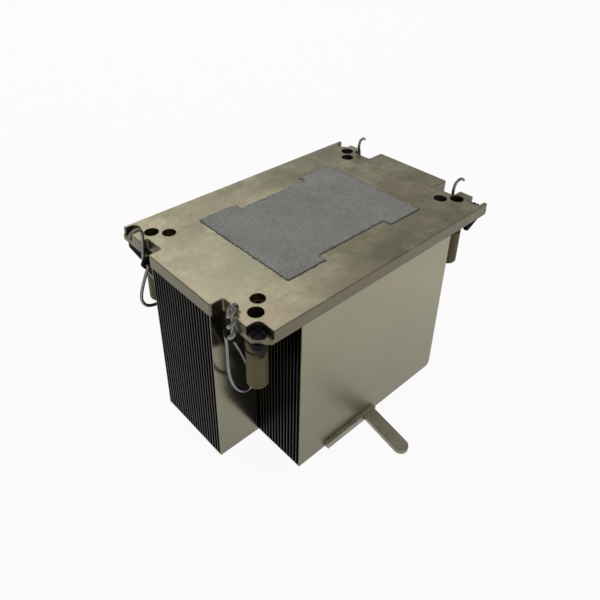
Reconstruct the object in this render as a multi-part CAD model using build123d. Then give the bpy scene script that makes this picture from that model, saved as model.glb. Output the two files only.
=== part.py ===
from build123d import *
import os
from math import cos, radians, sin, tan

# Passive heat sink for a server processor, standing on its fin tips with the contact face up.
# X runs along the fins and the air, Y across them, and the fin tips stand on Z = 0.
# Millimetres. Corners are numbered 1 (-X -Y), 2 (-X +Y), 3 (+X -Y) and 4 (+X +Y).

os.makedirs("parts", exist_ok=True)

# Overall
total_height = 70.0
base_length = 118.0
base_width = 78.0
base_thickness = 4.7
edge_break = 0.25

# Outline of the base plate, as cut-outs measured from its ends and long edges
tongue_width = 35.0
far_tongue_extra = 1.4
notch_depth = 5.0
far_notch_extra = 1.6
notch_width = 8.8
lobe_setback = 2.0
outline_radius = 0.8

# Corner pockets
pocket_reach = 6.9
pocket_width = 6.8
pocket_depth = 2.9
pocket_radius = 2.0
horn_thickness = 1.3
horn_setback = 2.8
keyed_chamfer = 4.2

# Holes at each corner, as insets from the end and the long edge
rivet_inset_x = 12.8
rivet_inset_y = 14.4
rivet_hole_radius = 2.5
stud_inset_x = 8.3
stud_inset_y = 9.9
stud_hole_radius = 2.6
stake_inset_x = 4.6
stake_inset_y = 4.4
stake_radius = 1.6

# Fins
fin_thickness = 0.4
fin_seam = 0.05
fin_flange = 0.45
stack_setback = 0.2
central_fins = 22
central_setback = 0.3
side_fins = 14
side_single_fins = 10
side_near_setback = 18.0
side_far_setback = 25.0
side_fin_corner = 2.0

# Thermal pad
pad_length = 67.0
pad_width = 48.4
pad_waist_length = 33.6
pad_waist_width = 41.4
pad_thickness = 0.25
pad_corner = 1.0

# Captive nuts
nut_radius = 3.6
nut_length = 22.0
nut_round = 1.3
nut_groove_drop = 6.6
nut_groove_height = 0.8
nut_groove_depth = 0.4
nut_neck_radius = 2.6
nut_collar_radius = 3.05
nut_collar_height = 0.7
nut_thread_radius = 1.65
nut_thread_depth = 12.0
drive_radius = 2.6
drive_lobe_radius = 0.62
drive_lobes = 6
drive_depth = 3.2
running_clearance = 0.08
end_float = 0.25

# Nut retainers
retainer_web = 2.0
retainer_lip = 0.8
retainer_ring_radius = 4.7
retainer_end_radius = 3.9
knob_radius = 2.7
knob_tip_radius = 1.0
knob_tip_inward_x = 1.4
knob_tip_inward_y = 0.7
knob_length = 6.2
knob_round = 0.6
stake_head_radius = 2.2
stake_head_height = 1.1
stake_slot_width = 0.5
stake_slot_depth = 0.7
collar_room = 0.25

# Rivets
rivet_play = 0.05
rivet_bore_radius = 1.1
rivet_flare_radius = 2.8
rivet_flare_height = 0.6
rivet_recess = 1.8

# Wire bails
wire_radius = 0.6
wire_bend = 0.7
wire_notch_gap = 3.2
wire_side_gap = 0.9
wire_axle_drop = 3.3
axle_length = 3.2
stem_height = 12.4
loop_length = 31.0
loop_shoulder = 23.5
loop_foot_inset = 4.8
loop_width = 10.7
loop_foot_rise = 0.6
loop_end_drop = 2.5
loop_end_inset = 0.8
clip_wall = 0.9
clip_gap = 0.2
clip_arm_height = 3.0

# Bent strip beside the stack's foot: a stretch on edge along the outer plate, then a flat arm
strip_thickness = 1.6
strip_foot_height = 2.8
strip_foot_length = 26.0
strip_gap = 0.1
strip_arm_width = 5.7
strip_arm_length = 21.6
strip_arm_slant = 9.0
strip_corner_x = -2.2
strip_round = 0.5

# Derived places
base_end = base_length / 2
base_edge = base_width / 2
base_bottom = total_height - base_thickness
pocket_floor = total_height - pocket_depth
notch_walls = {-1: base_end - notch_depth, 1: base_end - notch_depth - far_notch_extra}
notch_side = tongue_width / 2 + notch_width
lobe_end = base_end - lobe_setback
pocket_wall = base_end - pocket_reach
pocket_side = base_edge - pocket_width
rivet_x = base_end - rivet_inset_x
rivet_y = base_edge - rivet_inset_y
stud_x = base_end - stud_inset_x
stud_y = base_edge - stud_inset_y
stake_x = base_end - stake_inset_x
stake_y = base_edge - stake_inset_y
stack_face = base_edge - stack_setback
side_edge = stack_face - fin_thickness / 2
fin_pitch = 2 * side_edge / (central_fins + 2 * side_fins - 1)
central_edge = side_edge - side_fins * fin_pitch
web_bottom = base_bottom - retainer_web
lip_top = web_bottom + retainer_lip
nut_top = web_bottom - end_float
nut_bottom = nut_top - nut_length
collar_bottom = lip_top + end_float
collar_top = collar_bottom + nut_collar_height
wire_axles = {side: wall + wire_notch_gap for side, wall in notch_walls.items()}
wire_axle_z = base_bottom - wire_axle_drop
wire_stem_y = notch_side - wire_side_gap
wire_leg_y = wire_stem_y - axle_length
corners = {1: (-1, -1), 2: (-1, 1), 3: (1, -1), 4: (1, 1)}

# Each bail was left bent in its own way. Its stem runs through these points to the hook's tip,
# as shares of the stem's height: outward from the axle and up
stems = {
    1: [(-0.065, 0.524), (-0.258, 0.774), (-0.056, 0.960), (0.056, 0.720)],
    2: [(-0.050, 1.070), (0.300, 1.110)],
    3: [(-0.194, 0.630), (-0.137, 0.985), (0.282, 1.008)],
    4: [(-0.194, 0.750), (-0.180, 1.050), (0.090, 1.090)],
}
# Drop of each loop as a share of its length, how far it leans out in degrees, and its bends
loop_drops = {1: 1.0, 2: 0.55, 3: 1.0, 4: 1.0}
loop_leans = {1: 0.0, 2: 22.0, 3: -4.0, 4: 16.0}
loop_bends = {1: (12.0, 4.5, 2.0), 2: (5.0, 3.0, 2.0), 3: (12.0, 4.5, 2.0), 4: (12.0, 4.5, 2.0)}


def plate_outline():
    ear_width = base_edge - notch_side
    tongue = Rectangle(base_length + far_tongue_extra, tongue_width)
    middle = Rectangle(notch_walls[-1] + notch_walls[1], base_width)
    shape = Pos(far_tongue_extra / 2, 0) * tongue
    shape += Pos((notch_walls[1] - notch_walls[-1]) / 2, 0) * middle
    for side in (-1, 1):
        ear_y = side * (notch_side + ear_width / 2)
        shape += Pos(0, ear_y) * Rectangle(2 * lobe_end, ear_width)
    return fillet(shape.vertices(), outline_radius)


def pocket_cut(corner):
    # The keyed corner 1 is open to both edges, the others keep a thin horn on the long edge
    sx, sy = corners[corner]
    outer_y = base_width if corner == 1 else base_edge - horn_thickness
    size_x = base_length - pocket_wall
    size_y = outer_y - pocket_side
    shape = Pos(pocket_wall + size_x / 2, pocket_side + size_y / 2) * Rectangle(size_x, size_y)
    shape = fillet(shape.vertices(), pocket_radius)
    cut = extrude(shape, base_thickness)
    if sx < 0:
        cut = mirror(cut, Plane.YZ)
    if sy < 0:
        cut = mirror(cut, Plane.XZ)
    return Pos(0, 0, pocket_floor) * cut


def horn_trim(corner):
    sx, sy = corners[corner]
    box = Box(horn_setback, horn_thickness, base_thickness, align=(Align.MIN, Align.MAX, Align.MIN))
    box = Pos(base_end - horn_setback, base_edge, pocket_floor) * box
    if sx < 0:
        box = mirror(box, Plane.YZ)
    if sy < 0:
        box = mirror(box, Plane.XZ)
    return box


def key_cut():
    # Triangle off the keyed corner, drawn a little larger than the corner it takes away
    x = -lobe_end
    y = -base_edge
    reach = keyed_chamfer * 2
    outline = Polyline(
        (x + keyed_chamfer - reach, y + reach),
        (x + keyed_chamfer - reach, y + keyed_chamfer - reach),
        (x + reach, y + keyed_chamfer - reach),
        close=True,
    )
    return Pos(0, 0, base_bottom) * extrude(make_face(outline), base_thickness)


def corner_hole(x, y, radius):
    hole = Cylinder(radius, base_thickness, align=(Align.CENTER, Align.CENTER, Align.MIN))
    return Pos(x, y, base_bottom) * hole


def base_plate():
    plate = Pos(0, 0, base_bottom) * extrude(plate_outline(), base_thickness)
    plate = chamfer(plate.faces().sort_by(Axis.Z)[-1].edges(), edge_break)
    plate -= key_cut()
    for corner, (sx, sy) in corners.items():
        plate -= pocket_cut(corner)
        if corner != 1:
            plate -= horn_trim(corner)
        plate -= corner_hole(sx * rivet_x, sy * rivet_y, rivet_hole_radius)
        plate -= corner_hole(sx * stud_x, sy * stud_y, stud_hole_radius)
        plate -= corner_hole(sx * stake_x, sy * stake_y, stake_radius + rivet_play)
    return plate


def thermal_pad():
    shape = Rectangle(pad_length, pad_waist_width)
    wing = (pad_length - pad_waist_length) / 2
    for side in (-1, 1):
        shape += Pos(side * (pad_waist_length + wing) / 2, 0) * Rectangle(wing, pad_width)
    shape = fillet(shape.vertices(), pad_corner)
    return Pos(0, 0, total_height) * extrude(shape, pad_thickness)


def fin(x_low, x_high, y, flanged, corner_radius):
    # A folded sheet: the upright web, with a flange along its tip and one along its root
    web = Plane.XZ * Rectangle(x_high - x_low, base_bottom)
    web = Pos((x_low + x_high) / 2, y, base_bottom / 2) * extrude(web, fin_thickness / 2, both=True)
    if corner_radius > 0:
        tip_edge = web.edges().filter_by(Axis.Y).sort_by(Axis.Z)[:2].sort_by(Axis.X)[-1]
        web = fillet(tip_edge, corner_radius)
    if flanged:
        width = fin_pitch - fin_thickness - fin_seam
        flange_length = x_high - x_low - corner_radius
        flange = Box(flange_length, width, fin_flange, align=(Align.MIN, Align.MIN, Align.MIN))
        start = Pos(x_low, y + fin_thickness / 2, 0)
        web += start * flange
        web += start * Pos(0, 0, base_bottom - fin_flange) * flange
    return web


def central_fin(index):
    y = -central_edge + index * fin_pitch
    half = base_end - central_setback
    return fin(-half, half, y, index < central_fins - 1, 0)


def side_fin(side, index):
    # Index 0 is the outer plate of the side stack
    y = side * (side_edge - index * fin_pitch)
    last = side > 0 and index == 0
    x_low = side_near_setback - base_end
    x_high = base_end - side_far_setback
    return fin(x_low, x_high, y, not last, side_fin_corner)


def drive_socket():
    # Six-lobed socket for the driver in the fin side end of the nut
    shape = Circle(drive_radius - drive_lobe_radius)
    for lobe in range(drive_lobes):
        angle = radians(360 / drive_lobes * lobe)
        reach = drive_radius - drive_lobe_radius
        shape += Pos(reach * cos(angle), reach * sin(angle)) * Circle(drive_lobe_radius)
    return extrude(shape, drive_depth)


def nut_groove():
    ring = Cylinder(nut_radius, nut_groove_height)
    return ring - Cylinder(nut_radius - nut_groove_depth, nut_groove_height)


def captive_nut(corner):
    sx, sy = corners[corner]
    body = Cylinder(nut_radius, nut_length, align=(Align.CENTER, Align.CENTER, Align.MIN))
    body = fillet(body.edges().sort_by(Axis.Z)[0], nut_round)
    body = Pos(0, 0, nut_bottom) * body
    body -= Pos(0, 0, nut_top - nut_groove_drop) * nut_groove()
    neck = Cylinder(nut_neck_radius, collar_top - nut_top, align=(Align.CENTER, Align.CENTER, Align.MIN))
    body += Pos(0, 0, nut_top) * neck
    collar = Cylinder(nut_collar_radius, nut_collar_height, align=(Align.CENTER, Align.CENTER, Align.MIN))
    body += Pos(0, 0, collar_bottom) * collar
    bore = Cylinder(nut_thread_radius, nut_thread_depth, align=(Align.CENTER, Align.CENTER, Align.MAX))
    body -= Pos(0, 0, collar_top) * bore
    body -= Pos(0, 0, nut_bottom) * drive_socket()
    return Pos(sx * stud_x, sy * stud_y, 0) * body


def retainer_body():
    # Flat web under the plate that joins the rivet, the ring round the nut's neck and the stake
    rivet_end = Pos(rivet_x, rivet_y) * Circle(retainer_end_radius)
    ring = Pos(stud_x, stud_y) * Circle(retainer_ring_radius)
    stake_end = Pos(stake_x, stake_y) * Circle(knob_radius)
    shape = make_hull(rivet_end.edges() + ring.edges()) + make_hull(ring.edges() + stake_end.edges())
    web = Pos(0, 0, web_bottom) * extrude(shape, retainer_web)
    room = nut_collar_radius + collar_room
    bore = Cylinder(room, base_thickness, align=(Align.CENTER, Align.CENTER, Align.MIN))
    web -= Pos(stud_x, stud_y, lip_top) * bore
    throat = Cylinder(nut_neck_radius + running_clearance, retainer_web * 2)
    return web - Pos(stud_x, stud_y, web_bottom) * throat


def wire_clip(axle_x):
    # Eye that holds the bail's axle, on an arm from the web to the notch
    eye_radius = wire_radius + running_clearance + clip_wall
    length = wire_stem_y - wire_leg_y - 2 * (wire_bend + clip_gap)
    middle = (wire_stem_y + wire_leg_y) / 2
    outline = Circle(eye_radius)
    arm_length = axle_x - stud_x
    arm = Rectangle(arm_length, clip_arm_height, align=(Align.MAX, Align.MIN))
    outline += Pos(0, -wire_radius) * arm
    outline -= Circle(wire_radius + running_clearance)
    eye = extrude(Plane.XZ * outline, length / 2, both=True)
    return Pos(axle_x, middle, wire_axle_z) * eye


def knob():
    # Tapered foot of the stake, its tip set a little inward
    top = Pos(stake_x, stake_y, web_bottom) * Circle(knob_radius)
    tip_place = (stake_x - knob_tip_inward_x, stake_y - knob_tip_inward_y, web_bottom - knob_length)
    tip = Pos(*tip_place) * Circle(knob_tip_radius)
    body = loft([tip, top])
    return fillet(body.edges().sort_by(Axis.Z)[0], knob_round)


def stake():
    # Shank through the pocket's floor, and a head split by a cross
    rise = pocket_floor - base_bottom
    shank = Cylinder(stake_radius, rise, align=(Align.CENTER, Align.CENTER, Align.MIN))
    head = Cylinder(stake_head_radius, stake_head_height, align=(Align.CENTER, Align.CENTER, Align.MIN))
    hung = (Align.CENTER, Align.CENTER, Align.MAX)
    slot = Box(2 * stake_head_radius, stake_slot_width, stake_slot_depth, align=hung)
    for turn in (0, 90):
        head -= Pos(0, 0, stake_head_height) * Rot(0, 0, turn) * slot
    return Pos(stake_x, stake_y, base_bottom) * (shank + Pos(0, 0, rise) * head)


def nut_retainer(corner):
    sx, sy = corners[corner]
    body = retainer_body() + wire_clip(wire_axles[sx]) + knob() + stake()
    body -= Pos(rivet_x, rivet_y, web_bottom) * rivet_shape(rivet_play, retainer_web)
    if sx < 0:
        body = mirror(body, Plane.YZ)
    if sy < 0:
        body = mirror(body, Plane.XZ)
    return body


def rivet_shape(play, height):
    # Straight shank with its lower end flared into the retainer's web
    shank = rivet_hole_radius - rivet_play
    section = Polyline(
        (0, 0),
        (rivet_flare_radius + play, 0),
        (shank + play, rivet_flare_height),
        (shank + play, height),
        (0, height),
        close=True,
    )
    return revolve(make_face(Plane.XZ * section), Axis.Z)


def rivet(corner):
    sx, sy = corners[corner]
    height = total_height - rivet_recess - web_bottom
    body = rivet_shape(0, height)
    body -= Cylinder(rivet_bore_radius, height, align=(Align.CENTER, Align.CENTER, Align.MIN))
    return Pos(sx * rivet_x, sy * rivet_y, web_bottom) * body


def bail_points(corner):
    # Hook over the contact face, stem in the notch, axle in the clip, then the closed loop
    axle_x = wire_axles[corners[corner][0]]
    stem = []
    for out, up in stems[corner]:
        stem.append((axle_x + out * stem_height, wire_stem_y, wire_axle_z + up * stem_height))
    axle = [(axle_x, wire_stem_y, wire_axle_z), (axle_x, wire_leg_y, wire_axle_z)]
    lean = radians(loop_leans[corner])
    share = loop_drops[corner]
    outline = [
        (0, loop_shoulder * share, wire_leg_y),
        (loop_foot_inset, loop_length * share, wire_leg_y),
        (loop_width, loop_length * share - loop_foot_rise, wire_leg_y),
        (loop_end_inset, loop_end_drop, wire_stem_y),
    ]
    loop = []
    for across, down, y in outline:
        out_x = -across * cos(lean) + down * sin(lean)
        out_z = -down * cos(lean) - across * sin(lean)
        loop.append((axle_x + out_x, y, wire_axle_z + out_z))
    return stem[::-1] + axle + loop


def wire_bail(corner):
    sx, sy = corners[corner]
    points = [Vector(*point) for point in bail_points(corner)]
    path = bail_path(points, loop_bends[corner])
    start = Plane(origin=path @ 0, z_dir=path % 0)
    wire = sweep(start * Circle(wire_radius), path=path)
    if sx < 0:
        wire = mirror(wire, Plane.YZ)
    if sy < 0:
        wire = mirror(wire, Plane.XZ)
    return wire


def bail_path(points, last_bends):
    # Straight stretches joined by arcs, with the loop's own bends last
    radii = [wire_bend] * (len(points) - 2 - len(last_bends)) + list(last_bends)
    edges = []
    start = points[0]
    for index, radius in enumerate(radii, 1):
        corner = points[index]
        into = (corner - points[index - 1]).normalized()
        out = (points[index + 1] - corner).normalized()
        turn = radians(into.get_angle(out))
        trim = radius * tan(turn / 2)
        first = corner - into * trim
        last = corner + out * trim
        edges.append(Edge.make_line(start, first))
        edges.append(Edge.make_tangent_arc(first, into, last))
        start = last
    edges.append(Edge.make_line(start, points[-1]))
    return Wire(edges)


def bent_tab():
    # Strip that stands on edge beside the outer plate, and lies flat where it points away
    face_y = -stack_face - strip_gap
    low_corner = (Align.MAX, Align.MAX, Align.MIN)
    foot = Box(strip_foot_length, strip_thickness, strip_foot_height, align=low_corner)
    foot = fillet(foot.edges().filter_by(Axis.Y).sort_by(Axis.X)[:2], strip_round)
    foot = Pos(strip_corner_x, face_y, 0) * foot
    radius = strip_arm_width / 2
    slant = radians(strip_arm_slant)
    run = strip_arm_length - radius
    start_x = strip_corner_x - radius
    shape = Rectangle(strip_arm_width, run) + Pos(0, -run / 2) * Circle(radius)
    arm = Rot(0, 0, -strip_arm_slant) * extrude(shape, strip_thickness)
    arm = Pos(start_x - run / 2 * sin(slant), face_y - run / 2 * cos(slant)) * arm
    beyond = Box(base_length, base_width, base_thickness, align=(Align.CENTER, Align.MIN, Align.CENTER))
    return foot + (arm - Pos(0, face_y, 0) * beyond)


def write(shape, name):
    export_step(shape, f"parts/{name}.step")


def main():
    write(base_plate(), "base_plate")
    write(thermal_pad(), "thermal_pad")
    for index in range(central_fins):
        write(central_fin(index), f"central_fin_{index + 1:02d}")
    for side, name in ((-1, "front"), (1, "rear")):
        for index in range(side_single_fins):
            write(side_fin(side, index), f"{name}_fin_{index + 1:02d}")
        inner = [side_fin(side, index) for index in range(side_single_fins, side_fins)]
        write(Compound(children=inner), f"{name}_inner_fins")
    for corner in corners:
        write(captive_nut(corner), f"captive_nut_{corner}")
        write(nut_retainer(corner), f"nut_retainer_{corner}")
        write(wire_bail(corner), f"wire_bail_{corner}")
    write(Compound(children=[rivet(corner) for corner in corners]), "retainer_rivets")
    write(bent_tab(), "bent_tab")


main()
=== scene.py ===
# Looks, camera and light of the passive server heat sink, built on the CAD frame.
# Corners are numbered 1 (-X -Y), 2 (-X +Y), 3 (+X -Y) and 4 (+X +Y), as in part.py.
import math
import random

import bmesh
import bpy
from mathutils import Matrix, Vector


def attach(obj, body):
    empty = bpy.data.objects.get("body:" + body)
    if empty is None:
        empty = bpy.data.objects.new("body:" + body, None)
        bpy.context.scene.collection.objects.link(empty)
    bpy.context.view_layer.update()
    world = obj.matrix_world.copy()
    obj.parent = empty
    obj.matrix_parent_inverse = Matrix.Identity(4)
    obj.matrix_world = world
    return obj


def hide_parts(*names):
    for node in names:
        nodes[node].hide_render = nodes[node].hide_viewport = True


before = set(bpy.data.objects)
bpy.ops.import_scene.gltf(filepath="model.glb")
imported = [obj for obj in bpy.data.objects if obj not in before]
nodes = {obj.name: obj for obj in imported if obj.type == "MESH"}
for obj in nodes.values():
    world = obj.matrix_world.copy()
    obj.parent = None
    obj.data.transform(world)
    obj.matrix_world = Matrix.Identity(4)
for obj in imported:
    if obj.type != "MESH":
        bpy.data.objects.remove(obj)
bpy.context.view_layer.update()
scene = bpy.context.scene
scene.view_settings.view_transform = "Standard"
MM = 0.001

# Plate and pad, in millimetres
PLATE_TOP = 70.0
PAD_TOP = 70.25
PAD_HALF_LENGTH = 33.5
PAD_WAIST_HALF = 16.8
PAD_WING_HALF = 24.2
PAD_MIDDLE_HALF = 20.7

# Printed dots, in millimetres; a pair is the range of a random share or shift
DOT_SEED = 7
DOT_PITCH = 0.95
DOT_RADIUS = 0.42
DOT_RADIUS_SHARE = (0.82, 1.12)
DOT_HEIGHT = 0.07
DOT_HEIGHT_SHARE = (0.7, 1.15)
DOT_SHIFT = (-0.05, 0.05)
DOT_MARGIN = (0.1, 0.75)
DOT_SIDES = 8

# Ragged rim of the pad, in millimetres
RIM_SEED = 11
RIM_STEP = 0.7
RIM_INSIDE = 0.6
RIM_CREST = 0.03
RIM_THIN = 0.05
RIM_THIN_CHANCE = 0.3
RIM_SPILL = (0.12, 0.6)
RIM_FOOT_SUNK = 0.2
RIM_CREST_DROP = (-0.03, 0.06)
RIM_OVER_PLATE = 0.02

# Wires, in millimetres
WIRE_RADIUS = 0.6
WIRE_END_SHARE = 0.6
TUBE_SIDES = 14
CURVE_STEPS = 6
CORNERS = {1: (-1, -1), 2: (-1, 1), 3: (1, -1), 4: (1, 1)}
AXLE_NEAR = 57.2
AXLE_FAR = 55.6
AXLE_Z = 62.0
AXLE_BEND = 0.5
STEM_Y = 25.4
LEG_Y = 22.2
# Outward and up from the axle, hook's tip first
STEMS = {
    1: [
        (0.7, 8.9), (0.1, 11.0), (-1.3, 11.4), (-2.4, 10.2), (-2.1, 8.6), (-1.3, 6.8), (-0.6, 3.4),
    ],
    2: [
        (3.8, 11.8), (2.9, 13.2), (1.0, 13.65), (-0.6, 12.95), (-1.0, 10.3), (-0.6, 6.4),
        (-0.3, 3.0),
    ],
    3: [
        (4.3, 11.5), (3.2, 12.4), (1.0, 12.9), (-1.2, 12.1), (-2.0, 10.2), (-2.2, 8.0),
        (-1.4, 4.0),
    ],
    4: [
        (2.5, 12.8), (1.4, 13.5), (0.4, 13.5), (-0.7, 12.8), (-1.3, 10.5), (-0.8, 8.0),
        (-0.2, 4.0),
    ],
}
# Outward and down from the axle, and how far each loop leans outward in degrees
DEEP_LOOP = [
    (-0.2, 3.0), (-0.4, 7.0), (-0.4, 11.6), (-0.6, 18.4), (-1.9, 24.0), (-3.7, 27.6),
    (-5.9, 29.9), (-8.4, 30.5), (-10.2, 29.0), (-9.5, 25.4), (-6.8, 17.5), (-3.9, 9.5),
    (-0.9, 2.6),
]
SHORT_LOOP = [
    (0.9, 2.0), (2.0, 4.6), (3.4, 8.1), (4.2, 11.2), (4.1, 13.6), (3.1, 15.6), (1.4, 16.9),
    (-1.6, 17.5), (-4.6, 16.6), (-5.2, 14.4), (-3.8, 10.6), (-2.2, 6.4), (-0.7, 2.9),
]
LOOPS = {1: DEEP_LOOP, 2: SHORT_LOOP, 3: DEEP_LOOP, 4: DEEP_LOOP}
LEANS = {1: 0.0, 2: 0.0, 3: -4.0, 4: 16.0}

# Curled spare end of wire 1, in millimetres
WRAP_START = ((-57.2, -25.7, 62.9), (-57.9, -26.8, 63.3))
WRAP_LOW = (-58.95, -28.0, 64.8)
WRAP_HIGH = (-58.45, -27.4, 74.6)
WRAP_STEPS = 30
WRAP_TURNS = 2.6
WRAP_RADIUS = 0.8
WRAP_WIRE = 0.7

# Camera, in metres and degrees
CAMERA_PLACE = (-0.1355, -0.13584, 0.1854)
CAMERA_AZIMUTH = math.radians(-41.66)
CAMERA_ELEVATION = math.radians(31.57)
CAMERA_SENSOR = 36.0
CAMERA_LENS = 36.06
CAMERA_SHIFT = (0.0305, -0.1334)
CAMERA_CLIP = (0.01, 20.0)

# Surroundings, in metres
WORLD_STRENGTH = 0.34
WHITE_SHARE = 0.93
FLOOR_RADII = (0.0, 0.5, 1.5, 3.0)
FLOOR_SIDES = 72
FLOOR_GAP = 0.0004
COVE = 0.5
COVE_STEPS = 8
BACKDROP_HEIGHT = 1.1
# Name, place, target, side of the square and watts
LAMPS = (
    ("lamp_key", (0.32, 0.785, 1.10), (0, 0, 0.05), 0.65, 4.6),
    ("lamp_fill", (-0.1, -1.0, 0.75), (0, 0, 0.04), 0.3, 2.0),
)

# A Mix node has sockets of one name for each kind of data; these are its colour ones
MIX_FACTOR, MIX_A, MIX_B, MIX_RESULT = 0, 6, 7, 2


# Node helpers

class Shader:
    """A material whose nodes are added step by step; texture scales are per metre."""

    def __init__(self, name):
        self.material = bpy.data.materials.new(name)
        self.material.use_nodes = True
        self.nodes = self.material.node_tree.nodes
        self.links = self.material.node_tree.links
        self.bsdf = self.nodes["Principled BSDF"]
        self.coords = self.nodes.new("ShaderNodeTexCoord").outputs["Object"]

    def feed(self, socket, value):
        if isinstance(value, bpy.types.NodeSocket):
            self.links.new(value, socket)
        else:
            socket.default_value = value

    def scaled(self, scale):
        node = self.nodes.new("ShaderNodeMapping")
        node.inputs["Scale"].default_value = scale
        self.links.new(self.coords, node.inputs["Vector"])
        return node.outputs["Vector"]

    def split(self, vector):
        node = self.nodes.new("ShaderNodeSeparateXYZ")
        self.links.new(vector, node.inputs["Vector"])
        return node.outputs

    def noise(self, scale, detail, roughness, vector=None, distortion=0.0):
        node = self.nodes.new("ShaderNodeTexNoise")
        self.links.new(vector or self.coords, node.inputs["Vector"])
        node.inputs["Scale"].default_value = scale
        node.inputs["Detail"].default_value = detail
        node.inputs["Roughness"].default_value = roughness
        node.inputs["Distortion"].default_value = distortion
        return node.outputs["Fac"]

    def cells(self, scale):
        node = self.nodes.new("ShaderNodeTexVoronoi")
        self.links.new(self.coords, node.inputs["Vector"])
        node.inputs["Scale"].default_value = scale
        return node.outputs["Distance"]

    def spread(self, value, low_in, high_in, low_out, high_out):
        node = self.nodes.new("ShaderNodeMapRange")
        self.links.new(value, node.inputs["Value"])
        node.inputs["From Min"].default_value = low_in
        node.inputs["From Max"].default_value = high_in
        node.inputs["To Min"].default_value = low_out
        node.inputs["To Max"].default_value = high_out
        return node.outputs["Result"]

    def maths(self, operation, a, b):
        node = self.nodes.new("ShaderNodeMath")
        node.operation = operation
        self.feed(node.inputs[0], a)
        self.feed(node.inputs[1], b)
        return node.outputs["Value"]

    def ramp(self, value, *stops):
        node = self.nodes.new("ShaderNodeValToRGB")
        self.links.new(value, node.inputs["Fac"])
        for element, (place, colour) in zip(node.color_ramp.elements, stops):
            element.position = place
            element.color = (*colour, 1)
        return node.outputs["Color"]

    def mix(self, factor, a, b):
        """Colour a, turning into the plain colour b as the factor goes from 0 to 1."""
        node = self.nodes.new("ShaderNodeMix")
        node.data_type = "RGBA"
        self.feed(node.inputs[MIX_FACTOR], factor)
        self.feed(node.inputs[MIX_A], a)
        self.feed(node.inputs[MIX_B], (*b, 1))
        return node.outputs[MIX_RESULT]

    def bump(self, height, strength, distance):
        node = self.nodes.new("ShaderNodeBump")
        node.inputs["Strength"].default_value = strength
        node.inputs["Distance"].default_value = distance
        self.links.new(height, node.inputs["Height"])
        return node.outputs["Normal"]

    def edge(self, radius, edge_darkening):
        """0 on faces and up to edge_darkening on edges, where the rounded normal leaves the true
        one.
        """
        bevel = self.nodes.new("ShaderNodeBevel")
        bevel.samples = 4
        bevel.inputs["Radius"].default_value = radius
        geometry = self.nodes.new("ShaderNodeNewGeometry")
        dot = self.nodes.new("ShaderNodeVectorMath")
        dot.operation = "DOT_PRODUCT"
        self.links.new(bevel.outputs["Normal"], dot.inputs[0])
        self.links.new(geometry.outputs["Normal"], dot.inputs[1])
        return self.spread(dot.outputs["Value"], 0.98, 0.75, 0.0, edge_darkening)

    def facing(self, axis, across, along):
        """One value on faces that look across an axis and another on those that look along it."""
        geometry = self.nodes.new("ShaderNodeNewGeometry")
        level = self.maths("ABSOLUTE", self.split(geometry.outputs["True Normal"])[axis], 0.0)
        return self.spread(level, 0.2, 0.8, across, along)

    def set(self, **values):
        for key, value in values.items():
            self.feed(self.bsdf.inputs[key.replace("_", " ")], value)
        return self.material


def tint(colour, factor):
    return tuple(min(1.0, channel * factor) for channel in colour)


def brushed_plate():
    """Brushed nickel with warm and green stains, specks, painted shade on its sides and darker
    edges.
    """
    s = Shader("brushed_nickel")
    base = (0.312, 0.286, 0.196)
    streaks = s.noise(1.0, 4.0, 0.6, s.scaled((220, 5200, 2000)))
    patches = s.noise(75.0, 5.0, 0.65)
    warm = s.noise(31.0, 3.0, 0.6, None, 0.6)
    green = s.noise(24.0, 3.0, 0.6, s.scaled((1.1, 0.8, 1.0)), 0.4)
    spots = s.noise(420.0, 2.0, 0.5)
    colour = s.ramp(patches, (0.39, tint(base, 0.68)), (0.61, tint(base, 1.27)))
    colour = s.mix(s.spread(warm, 0.46, 0.62, 0.0, 0.75), colour, (0.29, 0.236, 0.172))
    colour = s.mix(s.spread(green, 0.48, 0.62, 0.0, 0.65), colour, (0.243, 0.246, 0.162))
    colour = s.mix(s.spread(streaks, 0.35, 0.65, 0.0, 0.25), colour, tint(base, 0.7))
    colour = s.mix(s.spread(spots, 0.35, 0.65, 0.4, 0.0), colour, tint(base, 0.7))
    colour = s.mix(s.spread(spots, 0.72, 0.8, 0.0, 0.4), colour, (0.12, 0.105, 0.08))
    # Painted shade: faces that look sideways are darkened, as if lit only from above.
    colour = s.mix(s.facing("Z", 0.68, 0.0), colour, tint(base, 0.35))
    colour = s.mix(s.edge(0.0008, 0.85), colour, (0.075, 0.062, 0.042))
    brushed = s.spread(streaks, 0.3, 0.7, 0.33, 0.45)
    stained = s.spread(patches, 0.3, 0.7, -0.04, 0.06)
    return s.set(
        Base_Color=colour,
        Metallic=1.0,
        Roughness=s.maths("ADD", brushed, stained),
        Normal=s.bump(streaks, 0.14, 0.00004),
    )


def fin_sheet(name, base, streak=0.8, foot_shade=0.0, rough=0.32, relief=0.08):
    """Rolled sheet, with painted shade on its end faces and, by foot_shade, painted shade low down
    at the near end.
    """
    s = Shader(name)
    rolling = s.noise(1.0, 3.0, 0.5, s.scaled((60, 900, 2600)))
    patches = s.noise(30.0, 3.0, 0.6, None, 0.3)
    colour = s.ramp(rolling, (0.3, tint(base, streak)), (0.7, tint(base, 1.05)))
    colour = s.mix(s.spread(patches, 0.45, 0.75, 0.0, 0.3), colour, tint(base, 0.8))
    # Painted shade: darker towards the fin tips and the near end.
    place = s.split(s.coords)
    rise = s.maths("ADD", place["Z"], s.maths("MULTIPLY", place["X"], 0.45))
    colour = s.mix(s.spread(rise, -0.025, 0.06, foot_shade, 0.0), colour, tint(base, 0.35))
    # Painted shade on the end faces.
    colour = s.mix(s.facing("X", 0.0, 0.55), colour, tint(base, 0.25))
    colour = s.mix(s.edge(0.00025, 0.7), colour, tint(base, 0.4))
    return s.set(
        Base_Color=colour,
        Metallic=1.0,
        Roughness=s.spread(rolling, 0.3, 0.7, rough, rough + 0.1),
        Normal=s.bump(rolling, relief, 0.00003),
    )


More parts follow.
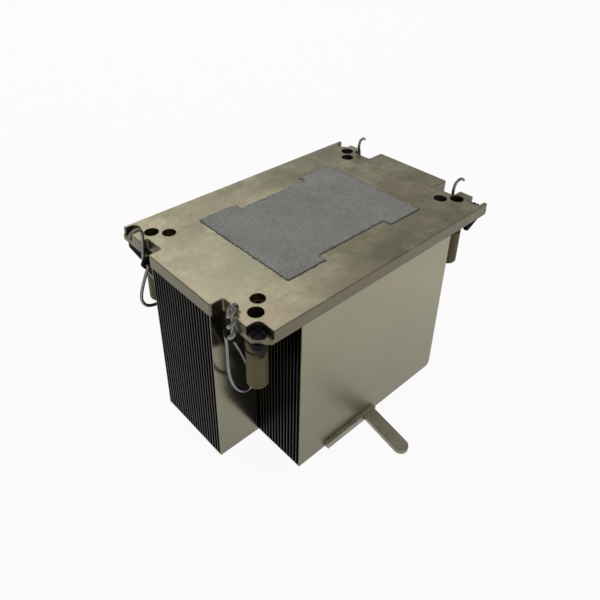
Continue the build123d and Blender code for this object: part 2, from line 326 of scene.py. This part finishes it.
def pad_film(name, level):
    """Grey thermal compound with a fine cell print."""
    s = Shader(name)
    dots = s.cells(2600.0)
    grain = s.noise(3200.0, 2.0, 0.5)
    patches = s.noise(90.0, 3.0, 0.5)
    base = (level, level * 1.01, level * 0.925)
    colour = s.ramp(patches, (0.3, tint(base, 0.86)), (0.7, tint(base, 1.12)))
    colour = s.mix(s.spread(dots, 0.1, 0.55, 0.3, 0.0), colour, tint(base, 1.35))
    colour = s.mix(s.spread(grain, 0.55, 0.75, 0.0, 0.35), colour, tint(base, 0.5))
    return s.set(
        Base_Color=colour,
        Roughness=s.spread(grain, 0.3, 0.7, 0.5, 0.7),
        Normal=s.bump(dots, 0.4, 0.00005),
    )


def moulded(name, base, rough, gloss):
    """Moulded plastic with a fine grain."""
    s = Shader(name)
    grain = s.noise(2400.0, 3.0, 0.6)
    patches = s.noise(140.0, 3.0, 0.5)
    return s.set(
        Base_Color=s.ramp(patches, (0.3, tint(base, 0.82)), (0.7, tint(base, 1.12))),
        Roughness=s.spread(grain, 0.3, 0.7, rough - 0.07, rough + 0.08),
        Specular_IOR_Level=gloss,
        Normal=s.bump(grain, 0.25, 0.00003),
    )


def drawn_wire():
    s = Shader("drawn_wire")
    grain = s.noise(1800.0, 3.0, 0.6)
    patches = s.noise(240.0, 3.0, 0.5)
    base = (0.23, 0.226, 0.205)
    return s.set(
        Base_Color=s.ramp(patches, (0.3, tint(base, 0.75)), (0.7, tint(base, 1.1))),
        Metallic=1.0,
        Roughness=s.spread(grain, 0.3, 0.7, 0.28, 0.45),
        Normal=s.bump(grain, 0.1, 0.00003),
    )


def dull_metal(name, base, rough, side_shade=0.0):
    """Handled metal whose upright sides get painted shade, by side_shade."""
    s = Shader(name)
    grain = s.noise(1500.0, 4.0, 0.6)
    patches = s.noise(120.0, 4.0, 0.6)
    colour = s.ramp(patches, (0.3, tint(base, 0.7)), (0.7, tint(base, 1.2)))
    # Painted shade on the upright sides.
    colour = s.mix(s.facing("Z", side_shade, 0.0), colour, tint(base, 0.15))
    return s.set(
        Base_Color=colour,
        Metallic=1.0,
        Roughness=s.spread(grain, 0.3, 0.7, rough - 0.08, rough + 0.1),
        Normal=s.bump(grain, 0.15, 0.00004),
    )


def paint(node, material):
    obj = nodes[node]
    obj.data.materials.clear()
    obj.data.materials.append(material)


# Materials on the carried-over nodes

plate = brushed_plate()
# Painted shade: the inner fin sheets get the outer sheets' metal made far darker, for the shade
# between them.
shaded_fins = fin_sheet("fin_sheet", (0.05, 0.049, 0.043))
# Painted shade low down at the near end, through foot_shade.
outer_sheet = fin_sheet("outer_sheet", (0.358, 0.334, 0.240), 0.9, 0.75, 0.4)
nut = moulded("tan_plastic", (0.108, 0.088, 0.032), 0.5, 0.25)
black = moulded("black_plastic", (0.008, 0.008, 0.009), 0.7, 0.12)
wire = drawn_wire()
rivet = dull_metal("dull_brass", (0.09, 0.055, 0.04), 0.5)
# Painted shade on the tab's upright sides, through side_shade.
tab = dull_metal("worn_steel_painted_side_shade", (0.70, 0.662, 0.52), 0.43, 0.7)
film = pad_film("pad_film", 0.165)
grease = pad_film("printed_grease", 0.3)
squeezed = pad_film("squeezed_grease", 0.055)
# Painted shade low down at the near end, through foot_shade.
inner_sheet = fin_sheet("inner_sheet", (0.345, 0.322, 0.232), 0.9, 0.75, 0.14, 0.02)
OUTSIDE_SHEETS = {
    "front_fin_01": outer_sheet,
    "rear_fin_01": outer_sheet,
    "central_fin_01": inner_sheet,
    "central_fin_22": inner_sheet,
}
for name in nodes:
    if "fin" in name:
        paint(name, OUTSIDE_SHEETS.get(name, shaded_fins))
    elif name.startswith("captive_nut"):
        paint(name, nut)
    elif name.startswith("nut_retainer"):
        paint(name, black)
    elif name.startswith("wire_bail"):
        paint(name, wire)
paint("base_plate", plate)
paint("thermal_pad", film)
paint("retainer_rivets", rivet)
paint("bent_tab", tab)


# Pieces added to the CAD

def mesh_piece(name, mesh, material, body="heatsink"):
    data = bpy.data.meshes.new(name)
    mesh.to_mesh(data)
    mesh.free()
    data.shade_smooth()
    data.materials.append(material)
    piece = bpy.data.objects.new(name, data)
    scene.collection.objects.link(piece)
    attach(piece, body)
    return piece


def in_pad(x, y, margin):
    """Whether a point lies on the pad, kept back from its outline by a margin."""
    if abs(x) > PAD_HALF_LENGTH - margin:
        return False
    edge = PAD_WING_HALF if abs(x) > PAD_WAIST_HALF + margin else PAD_MIDDLE_HALF
    return abs(y) < edge - margin


def pad_dots():
    """Field of low grease dots in staggered rows, ragged along the pad's outline."""
    mesh = bmesh.new()
    dice = random.Random(DOT_SEED)
    row = 0
    y = -PAD_WING_HALF
    while y < PAD_WING_HALF:
        x = -PAD_HALF_LENGTH + (row % 2) * DOT_PITCH / 2
        while x < PAD_HALF_LENGTH:
            margin = dice.uniform(*DOT_MARGIN)
            radius = DOT_RADIUS * dice.uniform(*DOT_RADIUS_SHARE)
            height = DOT_HEIGHT * dice.uniform(*DOT_HEIGHT_SHARE)
            cx = x + dice.uniform(*DOT_SHIFT)
            cy = y + dice.uniform(*DOT_SHIFT)
            if in_pad(cx, cy, margin):
                top = mesh.verts.new((cx * MM, cy * MM, (PAD_TOP + height) * MM))
                ring = []
                for step in range(DOT_SIDES):
                    turn = math.radians(360 / DOT_SIDES * step)
                    place = (cx + radius * math.cos(turn), cy + radius * math.sin(turn), PAD_TOP)
                    ring.append(mesh.verts.new(Vector(place) * MM))
                for step in range(DOT_SIDES):
                    mesh.faces.new((top, ring[step], ring[(step + 1) % DOT_SIDES]))
            x += DOT_PITCH
        y += DOT_PITCH * math.sqrt(3) / 2
        row += 1
    mesh_piece("pad_dots", mesh, grease)


def pad_rim():
    """Thin ragged line of dark grease squeezed out round the pad."""
    corners = [
        (PAD_HALF_LENGTH, PAD_WING_HALF), (PAD_WAIST_HALF, PAD_WING_HALF),
        (PAD_WAIST_HALF, PAD_MIDDLE_HALF), (-PAD_WAIST_HALF, PAD_MIDDLE_HALF),
        (-PAD_WAIST_HALF, PAD_WING_HALF), (-PAD_HALF_LENGTH, PAD_WING_HALF),
    ]
    corners += [(-x, -y) for x, y in corners]
    path = []
    for start, end in zip(corners, corners[1:] + corners[:1]):
        run = Vector(end) - Vector(start)
        steps = max(2, int(run.length / RIM_STEP))
        path += [Vector(start) + run * (step / steps) for step in range(steps)]
    dice = random.Random(RIM_SEED)
    mesh = bmesh.new()
    rows = []
    count = len(path)
    for index, point in enumerate(path):
        ahead = path[(index + 2) % count] - path[index - 2]
        out = Vector((ahead.y, -ahead.x)).normalized()
        spill = dice.uniform(*RIM_SPILL) if dice.random() > RIM_THIN_CHANCE else RIM_THIN
        foot = point - out * RIM_INSIDE
        crest = point + out * RIM_CREST
        lip = point + out * spill
        crest_z = PAD_TOP - dice.uniform(*RIM_CREST_DROP)
        rows.append([
            mesh.verts.new(Vector((foot.x, foot.y, PAD_TOP - RIM_FOOT_SUNK)) * MM),
            mesh.verts.new(Vector((crest.x, crest.y, crest_z)) * MM),
            mesh.verts.new(Vector((lip.x, lip.y, PLATE_TOP + RIM_OVER_PLATE)) * MM),
        ])
    for index, first in enumerate(rows):
        second = rows[(index + 1) % count]
        for side in range(2):
            mesh.faces.new((first[side], first[side + 1], second[side + 1], second[side]))
    bmesh.ops.recalc_face_normals(mesh, faces=mesh.faces)
    mesh_piece("pad_rim", mesh, squeezed)


def smooth_path(points):
    """Even curve through every point."""
    path = []
    last = len(points) - 1
    for index in range(last):
        before = points[max(index - 1, 0)]
        start, end = points[index], points[index + 1]
        after = points[min(index + 2, last)]
        for step in range(CURVE_STEPS):
            t = step / CURVE_STEPS
            path.append(0.5 * (
                2 * start + (end - before) * t
                + (2 * before - 5 * start + 4 * end - after) * t ** 2
                + (3 * start - before - 3 * end + after) * t ** 3
            ))
    return path + [points[-1]]


def wire_piece(name, points, radius, body):
    """Round wire along points, in metres, with flat ends that narrow a little."""
    mesh = bmesh.new()
    rings = []
    last = len(points) - 1
    side = Vector((0.3, 1.0, 0.2))
    for index, point in enumerate(points):
        ahead = (points[min(index + 1, last)] - points[max(index - 1, 0)]).normalized()
        side = (side - ahead * side.dot(ahead)).normalized()
        up = side.cross(ahead)
        here = radius * (WIRE_END_SHARE if index in (0, last) else 1.0)
        ring = []
        for step in range(TUBE_SIDES):
            turn = 2 * math.pi * step / TUBE_SIDES
            offset = side * math.cos(turn) + up * math.sin(turn)
            ring.append(mesh.verts.new(point + offset * here))
        rings.append(ring)
    for first, second in zip(rings, rings[1:]):
        for step in range(TUBE_SIDES):
            after = (step + 1) % TUBE_SIDES
            mesh.faces.new((first[step], first[after], second[after], second[step]))
    mesh.faces.new(rings[0][::-1])
    mesh.faces.new(rings[-1])
    bmesh.ops.recalc_face_normals(mesh, faces=mesh.faces)
    return mesh_piece(name, mesh, wire, body)


def wire_bail(corner):
    """Bent wire through its clip: hook and stem on one side, axle, then the loop."""
    sx, sy = CORNERS[corner]
    axle_x = AXLE_NEAR if sx < 0 else AXLE_FAR
    places = [(out, STEM_Y, up) for out, up in STEMS[corner]]
    places += [
        (0.0, STEM_Y, AXLE_BEND), (0.0, STEM_Y - AXLE_BEND, 0.0),
        (0.0, LEG_Y + AXLE_BEND, 0.0), (0.0, LEG_Y, -AXLE_BEND),
    ]
    lean = math.radians(LEANS[corner])
    loop = LOOPS[corner]
    lowest = max(down for out, down in loop)
    last_down = loop[-1][1]
    turned = False
    for out, down in loop:
        # From its lowest point the loop comes back up on the stem's side
        turned = turned or down == lowest
        y = LEG_Y + (STEM_Y - LEG_Y) * turned * (lowest - down) / (lowest - last_down)
        leant_out = out * math.cos(lean) + down * math.sin(lean)
        leant_up = out * math.sin(lean) - down * math.cos(lean)
        places.append((leant_out, y, leant_up))
    points = [Vector((sx * (axle_x + out), sy * y, AXLE_Z + up)) * MM for out, y, up in places]
    node = f"wire_bail_{corner}"
    path = smooth_path(points)
    piece = wire_piece(f"bail_{corner}_wire", path, WIRE_RADIUS * MM, f"bail_{corner}")
    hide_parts(node)


def bail_wrap():
    """Near wire's spare end, leaving the stem and curling up outside the lobe's end."""
    low_point = Vector(WRAP_LOW) * MM
    high_point = Vector(WRAP_HIGH) * MM
    axis = (high_point - low_point).normalized()
    side = axis.cross(Vector((0, 1, 0))).normalized()
    other = axis.cross(side)
    points = [Vector(place) * MM for place in WRAP_START]
    for step in range(WRAP_STEPS + 1):
        share = step / WRAP_STEPS
        turn = 2 * math.pi * WRAP_TURNS * share
        offset = side * math.cos(turn) + other * math.sin(turn)
        points.append(low_point.lerp(high_point, share) + offset * WRAP_RADIUS * MM)
    wire_piece("bail_wrap_1", smooth_path(points), WRAP_WIRE * MM, "bail_1")


pad_dots()
pad_rim()
bail_wrap()
for corner in CORNERS:
    wire_bail(corner)


# Camera, floor and light

def make_camera():
    data = bpy.data.cameras.new("camera")
    data.sensor_width = CAMERA_SENSOR
    data.lens = CAMERA_LENS
    data.shift_x, data.shift_y = CAMERA_SHIFT
    data.clip_start, data.clip_end = CAMERA_CLIP
    camera = bpy.data.objects.new("camera", data)
    back = Vector((
        math.sin(CAMERA_AZIMUTH) * math.cos(CAMERA_ELEVATION),
        -math.cos(CAMERA_AZIMUTH) * math.cos(CAMERA_ELEVATION),
        math.sin(CAMERA_ELEVATION),
    ))
    camera.location = CAMERA_PLACE
    camera.rotation_mode = "QUATERNION"
    camera.rotation_quaternion = (-back).to_track_quat("-Z", "Y")
    scene.collection.objects.link(camera)
    scene.camera = camera


def make_world():
    world = bpy.data.worlds.new("studio")
    world.use_nodes = True
    ambient = world.node_tree.nodes["Background"]
    ambient.inputs["Color"].default_value = (1, 1, 1, 1)
    ambient.inputs["Strength"].default_value = WORLD_STRENGTH
    scene.world = world


def whiten(shader):
    """Mostly plain white to the camera, mirrors and glass, over the lit floor's shadow."""
    path = shader.nodes.new("ShaderNodeLightPath")
    seen = shader.maths("MAXIMUM", path.outputs["Is Camera Ray"], path.outputs["Is Glossy Ray"])
    seen = shader.maths("MAXIMUM", seen, path.outputs["Is Transmission Ray"])
    white = shader.nodes.new("ShaderNodeEmission")
    blend = shader.nodes.new("ShaderNodeMixShader")
    shader.links.new(shader.maths("MULTIPLY", seen, WHITE_SHARE), blend.inputs["Fac"])
    shader.links.new(shader.bsdf.outputs["BSDF"], blend.inputs[1])
    shader.links.new(white.outputs["Emission"], blend.inputs[2])
    shader.links.new(blend.outputs["Shader"], shader.nodes["Material Output"].inputs["Surface"])


def make_floor():
    """Round floor whose rim curves up into a low backdrop."""
    profile = [(radius, 0.0) for radius in FLOOR_RADII]
    rim = FLOOR_RADII[-1]
    for step in range(1, COVE_STEPS + 1):
        turn = math.radians(90.0 * step / COVE_STEPS)
        profile.append((rim + COVE * math.sin(turn), COVE * (1 - math.cos(turn))))
    profile.append((rim + COVE, BACKDROP_HEIGHT))
    mesh = bmesh.new()
    rings = []
    for radius, height in profile:
        ring = []
        for step in range(FLOOR_SIDES if radius else 1):
            turn = math.radians(360 / FLOOR_SIDES * step)
            place = (radius * math.cos(turn), radius * math.sin(turn), height)
            ring.append(mesh.verts.new(place))
        rings.append(ring)
    for first, second in zip(rings, rings[1:]):
        for step in range(FLOOR_SIDES):
            after = (step + 1) % FLOOR_SIDES
            if len(first) == 1:
                mesh.faces.new((first[0], second[step], second[after]))
            else:
                mesh.faces.new((first[step], second[step], second[after], first[after]))
    data = bpy.data.meshes.new("floor")
    mesh.to_mesh(data)
    mesh.free()
    data.shade_smooth()
    floor = bpy.data.objects.new("floor", data)
    floor.location.z = -FLOOR_GAP
    scene.collection.objects.link(floor)
    s = Shader("pale_floor")
    cloud = s.noise(2.0, 2.0, 0.5)
    s.set(
        Base_Color=s.ramp(cloud, (0.3, (0.88, 0.88, 0.88)), (0.7, (0.92, 0.92, 0.92))),
        Roughness=0.9,
    )
    whiten(s)
    data.materials.append(s.material)


def make_lamp(name, place, target, side, power):
    data = bpy.data.lights.new(name, "AREA")
    data.shape = "RECTANGLE"
    data.size = side
    data.size_y = side
    data.energy = power
    lamp = bpy.data.objects.new(name, data)
    lamp.location = place
    direction = Vector(target) - Vector(place)
    lamp.rotation_mode = "QUATERNION"
    lamp.rotation_quaternion = direction.to_track_quat("-Z", "Y")
    scene.collection.objects.link(lamp)


make_camera()
make_world()
make_floor()
for lamp_values in LAMPS:
    make_lamp(*lamp_values)
